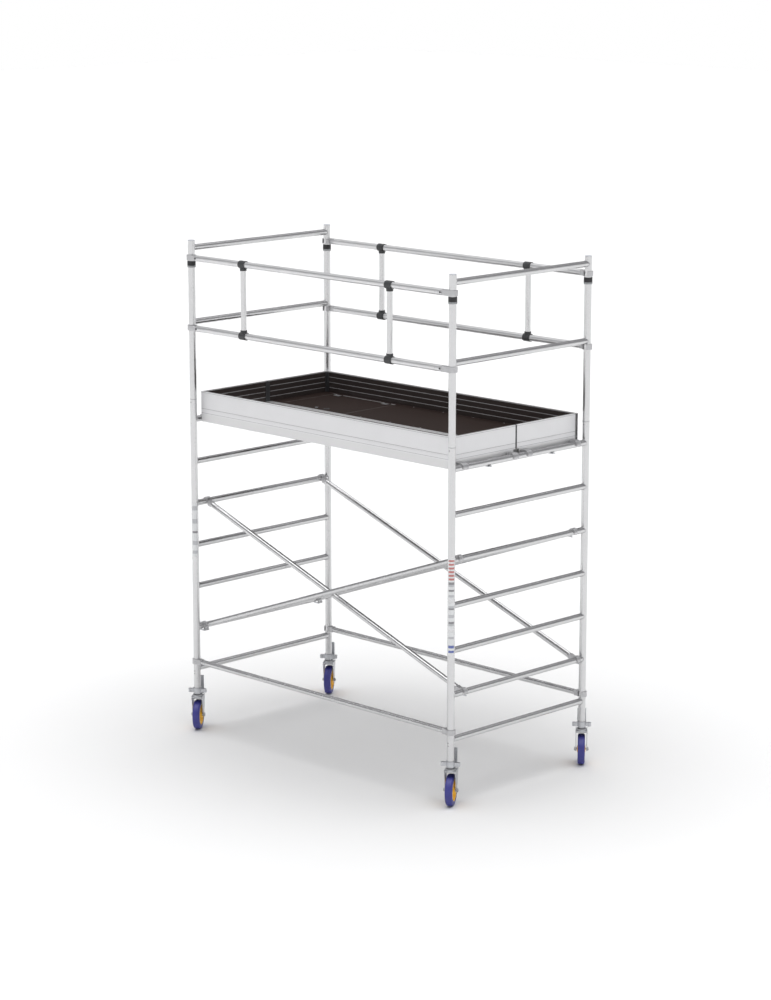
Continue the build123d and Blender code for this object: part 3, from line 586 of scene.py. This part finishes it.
def dress_tower():
    """Give every CAD node its material, and return the ones that small pieces share."""
    upright_metal = drawn_aluminium("upright_metal", 2)
    rung_metal = drawn_aluminium("rung_metal", 1)
    rail_metal = drawn_aluminium("rail_metal", 0, rough=0.20)
    guardrail_metal = drawn_aluminium("guardrail_metal", 0, tint=0.72, rough=0.34)
    casting = cast_aluminium("casting")
    zinc = galvanised("zinc")
    black = moulded_plastic("black_plastic", (0.030, 0.031, 0.033), (0.052, 0.053, 0.056))
    dress(["uprights", "guard_uprights", "spigots", "guardrail_posts"], upright_metal)
    dress(["rungs", "guard_rungs"], rung_metal)
    dress(["guardrails"], guardrail_metal)
    dress(["low_braces", "diagonal_braces"], rail_metal)
    dress(["snap_claws", "brace_hooks", "platform_hooks"], casting)
    dress(
        ["platform_side_beams", "platform_end_beams", "platform_cross_members"],
        satin_extrusion("beam_metal"),
    )
    dress(["hatch_frame"], hatch_frame_metal("hatch_metal"))
    dress(["toe_boards"], toe_board_metal("board_metal"))
    dress(["toe_board_joints", "guardrail_couplers", "guardrail_pins"], black)
    cap_dark, cap_light = (0.46, 0.48, 0.52), (0.55, 0.57, 0.60)
    dress(["tube_caps"], moulded_plastic("cap_plastic", cap_dark, cap_light, 0.35))
    dress(["stop_collars"], stop_collar_rubber("collar_rubber"))
    dress(["decks", "trapdoor"], phenolic_board("deck_film"))
    dress(["spigot_rivets"], dark_steel("rivet_steel"))
    tyre = tyre_polyurethane("tyre_blue")
    rim = rim_polyamide("rim_yellow")
    for corner in CORNERS:
        dress([f"{corner}_tyre"], tyre)
        dress([f"{corner}_rim"], rim)
    for name in nodes:
        if name.endswith(("latch", "fork", "wing_nut", "brake_pedal", "lock", "catch")):
            dress([name], zinc)
    for corner, place in CORNERS.items():
        dress([f"{corner}_spindle"], threaded_zinc(f"{corner}_thread", place))
    for node in nodes.values():
        smooth_by_angle(node.data)
    return {
        "casting": casting, "zinc": zinc, "black": black, "upright": upright_metal, "rim": rim,
    }


# ---------------------------------------------------------------- small pieces

def add_piece(name, work, material, body):
    """Turn finished mesh work into a piece that rides on a body."""
    bmesh.ops.recalc_face_normals(work, faces=work.faces)
    mesh = bpy.data.meshes.new(name)
    work.to_mesh(mesh)
    work.free()
    mesh.materials.append(material)
    smooth_by_angle(mesh, 40.0)
    piece = bpy.data.objects.new(name, mesh)
    scene.collection.objects.link(piece)
    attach(piece, body)


def turned(work, place, axis, outline, around=20, ring=False):
    """Add a turned shape: outline is radius and height pairs along axis from place."""
    frame_at = Vector(axis).to_track_quat("Z", "Y").to_matrix().to_4x4()
    frame_at.translation = Vector(place)
    loops = []
    for radius, height in outline:
        loops.append([
            work.verts.new(frame_at @ Vector((radius * cos(a), radius * sin(a), height)))
            for a in (2 * pi * k / around for k in range(around))
        ])
    pairs = list(zip(loops, loops[1:] + loops[:1])) if ring else list(zip(loops, loops[1:]))
    for low, high in pairs:
        for k in range(around):
            m = (k + 1) % around
            work.faces.new((low[k], low[m], high[m], high[k]))
    if not ring:
        work.faces.new(loops[-1])
        work.faces.new(loops[0])


def rivet(work, place, axis, radius=0.004, height=0.0016):
    """A domed rivet head."""
    outline = [(radius, -0.0004)]
    outline += [(radius * cos(a), height * sin(a)) for a in (0.0, 0.4, 0.8, 1.15, 1.4)]
    turned(work, place, axis, outline, 14)


def pan_screw(work, place, axis, radius=0.0045):
    """A low screw head with a recess in it."""
    turned(work, place, axis, [
        (radius, -0.0004), (radius, 0.0006), (radius * 0.8, 0.0013), (radius * 0.45, 0.0015),
        (radius * 0.38, 0.0004),
    ], 14)


def bar(work, low, high, turn, round_off=0.0006):
    """A bar from its lowest to its highest corner with eased edges, placed by a matrix."""
    made = bmesh.ops.create_cube(work, size=1.0)["verts"]
    size = Vector(high) - Vector(low)
    middle = (Vector(high) + Vector(low)) / 2
    for vert in made:
        vert.co = Vector([vert.co[k] * size[k] + middle[k] for k in range(3)])
    edges = list({edge for vert in made for edge in vert.link_edges})
    eased = bmesh.ops.bevel(work, geom=edges, offset=round_off, segments=2, affect="EDGES")
    every = {vert for face in eased["faces"] for vert in face.verts} | {v for v in made if v.is_valid}
    for vert in every:
        vert.co = turn @ vert.co


def castor_frame(corner):
    """Matrix of a castor: origin on the floor under its leg, X towards the pedal, Y across."""
    x, y = CORNERS[corner]
    heading = radians(HEADINGS[corner])
    ahead = Vector((-sin(heading), cos(heading), 0))
    across = Vector((-cos(heading), -sin(heading), 0))
    matrix = Matrix.Identity(4)
    for row in range(3):
        matrix[row][0] = ahead[row]
        matrix[row][1] = across[row]
        matrix[row][2] = (0, 0, 1)[row]
    matrix.translation = Vector((x, y, 0))
    return matrix


def rung_rows():
    """Height of every rung's axis, lower frames first."""
    low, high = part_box("rungs")
    first, last = low.z + RUNG_RADIUS, high.z - RUNG_RADIUS
    rows = [first + (last - first) * k / 6 for k in range(7)]
    low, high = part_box("guard_rungs")
    return rows + [low.z + RUNG_RADIUS, high.z - RUNG_RADIUS]


def add_weld_beads(material):
    """A rippled fillet weld round both ends of every rung."""
    work = bmesh.new()
    for x, y in CORNERS.values():
        inward = -y / abs(y)
        for height in rung_rows():
            loops = []
            for k in range(30):
                a = 2 * pi * k / 30
                out = Vector((cos(a), 0, sin(a)))
                reach = sqrt(POST_RADIUS ** 2 - (RUNG_RADIUS * cos(a)) ** 2)
                spot = Vector((x, y + inward * reach, height)) + out * RUNG_RADIUS
                size = 0.0026 + 0.0005 * sin(10 * a + height * 31)
                loops.append([
                    work.verts.new(spot + (out * cos(b) + Vector((0, inward, 0)) * sin(b)) * size)
                    for b in (2 * pi * m / 7 for m in range(7))
                ])
            for low, high in zip(loops, loops[1:] + loops[:1]):
                for m in range(7):
                    n = (m + 1) % 7
                    work.faces.new((low[m], low[n], high[n], high[m]))
    add_piece("weld_beads", work, material, TOWER)


def add_frame_joints(metal, dark):
    """Lips and a dark line of painted shade along the seam where the guard frames stand on the ladder
    frames, and foot rivets.
    """
    foot, joint = (corner.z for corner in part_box("uprights"))
    lips = bmesh.new()
    seam_shade = bmesh.new()
    rivets = bmesh.new()
    for x, y in CORNERS.values():
        for low, high in ((-0.0045, -0.0008), (0.0008, 0.0045)):
            turned(lips, (x, y, joint), (0, 0, 1), [
                (POST_RADIUS - 0.0005, low), (POST_RADIUS + 0.0006, low + 0.0006),
                (POST_RADIUS + 0.0006, high - 0.0006), (POST_RADIUS - 0.0005, high),
            ], 36, ring=True)
        # Painted shade: a thin black ring over the seam where the two tubes meet.
        turned(seam_shade, (x, y, joint), (0, 0, 1), [
            (POST_RADIUS - 0.0006, -0.0008), (POST_RADIUS + 0.0001, -0.0008),
            (POST_RADIUS + 0.0001, 0.0008), (POST_RADIUS - 0.0006, 0.0008),
        ], 36, ring=True)
        side = y / abs(y)
        for rise in (0.105, 0.125):
            rivet(rivets, (x, y + side * POST_RADIUS, foot + rise), (0, side, 0))
    add_piece("frame_joint_lips", lips, metal, TOWER)
    add_piece("frame_joint_seam_shade", seam_shade, dark, TOWER)
    add_piece("foot_rivets", rivets, dark, TOWER)


def add_label(name, corner, low_z, high_z, half_angle, bands):
    """A thin label wrapped part way round an upright, on the side that faces front and right."""
    x, y = CORNERS[corner]
    work = bmesh.new()
    rows = []
    for z in (low_z, high_z):
        rows.append([
            work.verts.new((
                x + (POST_RADIUS + 0.0003) * cos(a), y + (POST_RADIUS + 0.0003) * sin(a), z
            ))
            for a in (radians(-45 + half_angle * (k / 8 - 1)) for k in range(17))
        ])
    for k in range(16):
        work.faces.new((rows[0][k], rows[0][k + 1], rows[1][k + 1], rows[1][k]))
    add_piece(name, work, printed_label(name, low_z, high_z, bands), TOWER)


def add_labels():
    """Plain coloured labels on the two front uprights."""
    white, grey, blue = (0.74, 0.75, 0.76), (0.26, 0.26, 0.27), (0.12, 0.16, 0.40)
    red, pale = (0.50, 0.19, 0.18), (0.50, 0.51, 0.53)
    stripes = [
        (start + 0.09 * k, colour) for k in range(6) for start, colour in ((0.48, red), (0.53, white))
    ]
    add_label("label_right_upper", "front_right", 1.40, 1.67, 48, [
        (0.0, white), (0.06, pale), (0.12, white), (0.20, grey), (0.25, white), (0.32, pale),
        (0.37, grey), (0.43, white),
    ] + stripes)
    add_label("label_right_middle", "front_right", 1.20, 1.38, 48, [
        (0.0, white), (0.14, pale), (0.22, grey), (0.30, white), (0.44, pale), (0.56, white),
        (0.74, grey), (0.80, pale), (0.88, white),
    ])
    add_label("label_right_lower", "front_right", 1.03, 1.185, 48, [
        (0.0, white), (0.10, blue), (0.20, white), (0.30, blue), (0.42, white), (0.70, pale),
        (0.80, white),
    ])
    add_label("label_left", "front_left", 1.27, 1.66, 46, [
        (0.0, white), (0.06, pale), (0.12, white), (0.22, pale), (0.30, white), (0.44, grey),
        (0.48, white), (0.62, pale), (0.70, white), (0.86, pale), (0.94, white),
    ])


def add_deck_screws(metal):
    """Screws that hold the decks down, clear of the trapdoor."""
    low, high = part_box("decks")
    work = bmesh.new()
    for side in (-1, 1):
        for edge in (high.y - 0.016, 0.044):
            for k in range(9):
                x = low.x + 0.03 + (high.x - low.x - 0.06) * k / 8
                if side > 0 and x < -0.42:
                    continue
                pan_screw(work, (x, side * edge, high.z), (0, 0, 1))
    add_piece("deck_screws", work, metal, TOWER)


def add_hinge_leaves(metal):
    """Leaves of the trapdoor's two hinges, on the lid."""
    low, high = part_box("trapdoor")
    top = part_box("decks")[1].z
    middle = (low.x + high.x) / 2
    work = bmesh.new()
    for x in (middle - 0.242, middle + 0.242):
        bar(
            work, (x - 0.027, high.y - 0.052, top - 0.0004), (x + 0.027, high.y - 0.012, top + 0.0014),
            Matrix.Identity(4), 0.0005,
        )
        for shift in (-0.016, 0.016):
            rivet(work, (x + shift, high.y - 0.034, top + 0.0014), (0, 0, 1), 0.0035, 0.0012)
    add_piece("hinge_leaves", work, metal, "trapdoor")


def add_trapdoor_grip(dark):
    """Finger ring let into the lid beside its catch."""
    low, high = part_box("trapdoor")
    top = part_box("decks")[1].z
    work = bmesh.new()
    turned(work, ((low.x + high.x) / 2 + 0.09, low.y + 0.045, top), (0, 0, 1), [
        (0.022, -0.0002), (0.022, 0.0012), (0.019, 0.0016), (0.014, 0.0014), (0.012, 0.0002),
    ], 28, ring=True)
    add_piece("trapdoor_grip", work, dark, "trapdoor")


def add_rim_ribs(corner, place, material):
    """Ten ribs and a raised ring on each face of a castor's rim."""
    work = bmesh.new()
    axle = place @ Matrix.Translation(AXLE)
    rib_height, half_rib = 0.0034, 0.0022
    for side in (-1, 1):
        for k in range(10):
            spin = axle @ Matrix.Rotation(2 * pi * k / 10, 4, "Y")
            inner, outer = sorted((side * RIM_FACE, side * (RIM_FACE + rib_height)))
            bar(work, (0.026, inner, -half_rib), (0.0672, outer, half_rib), spin, 0.0008)
        face = axle @ Vector((0, side * RIM_FACE, 0))
        turned(work, face, axle.to_3x3() @ Vector((0, side, 0)), [
            (0.0235, 0.0), (0.0265, 0.0), (0.0262, 0.0032), (0.0238, 0.0036),
        ], 32, ring=True)
    add_piece(f"{corner}_rim_ribs", work, material, f"{corner}_wheel")


def add_pedal_treads(corner, place, material):
    """Four treads across a pedal's foot pad, and two rivets in its release pad."""
    work = bmesh.new()
    start = place @ Matrix.Translation(PAD_EDGE) @ Matrix.Rotation(PAD_SLOPE, 4, "Y")
    half_tread = 0.0016
    for k in range(4):
        x = 0.010 + 0.0082 * k
        half = 0.040 if k < 2 else 0.040 - 0.006 * (k - 1)
        bar(work, (x - half_tread, -half, 0.0052), (x + half_tread, half, 0.0072), start)
    rivet_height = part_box(f"{corner}_brake_pedal")[1].z - 0.030
    for shift in (-0.018, 0.018):
        spot = place @ Vector((0.0872, shift, rivet_height))
        rivet(work, spot, place.to_3x3() @ Vector((1, 0, 0)), 0.0045, 0.002)
    add_piece(f"{corner}_pedal_treads", work, material, f"{corner}_brake")


def add_fork_rivets(corner, place, material):
    """Rivets in a fork's two cheeks, and a rolled ring round the head on its crown."""
    work = bmesh.new()
    rivet_height = CROWN_TOP - 0.0179
    for side in (-1, 1):
        for x in (-0.022, 0.030):
            spot = place @ Vector((x, side * FORK_FACE, rivet_height))
            rivet(work, spot, place.to_3x3() @ Vector((0, side, 0)), 0.005, 0.0018)
    turned(work, place @ Vector((0, 0, CROWN_TOP)), (0, 0, 1), [
        (0.0368, 0.0), (0.0392, 0.0), (0.0392, 0.0024), (0.0368, 0.0036),
    ], 40, ring=True)
    add_piece(f"{corner}_fork_rivets", work, material, f"{corner}_fork")


def add_castor_details(finish):
    """The small pieces on each castor."""
    for corner in CORNERS:
        place = castor_frame(corner)
        add_rim_ribs(corner, place, finish["rim"])
        add_pedal_treads(corner, place, finish["zinc"])
        add_fork_rivets(corner, place, finish["zinc"])


def add_claw_rivets(metal):
    """Rivets through the claws' necks on the guardrails and low braces."""
    low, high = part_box("guardrails")
    size = (0.0035, 0.0012)
    work = bmesh.new()
    for x in (high.x - 0.030, high.x - 0.052):
        for end in (-1, 1):
            for side in (-1, 1):
                for z in (high.z - RAIL_RADIUS, low.z + RAIL_RADIUS):
                    rivet(work, (end * x, side * high.y, z), (0, side, 0), *size)
    brace_low, brace_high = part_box("low_braces")
    brace_z = (brace_low.z + brace_high.z) / 2
    for end in (-1, 1):
        for side in (-1, 1):
            for x in (brace_high.x - 0.020, brace_high.x - 0.042):
                rivet(work, (end * x, side * brace_high.y, brace_z), (0, side, 0), *size)
    add_piece("claw_rivets", work, metal, TOWER)


make_camera()
make_world()
make_floor()
finishes = dress_tower()
add_weld_beads(finishes["casting"])
add_frame_joints(finishes["upright"], finishes["black"])
add_labels()
add_deck_screws(finishes["zinc"])
add_hinge_leaves(finishes["zinc"])
add_trapdoor_grip(finishes["black"])
add_castor_details(finishes)
add_claw_rivets(finishes["zinc"])
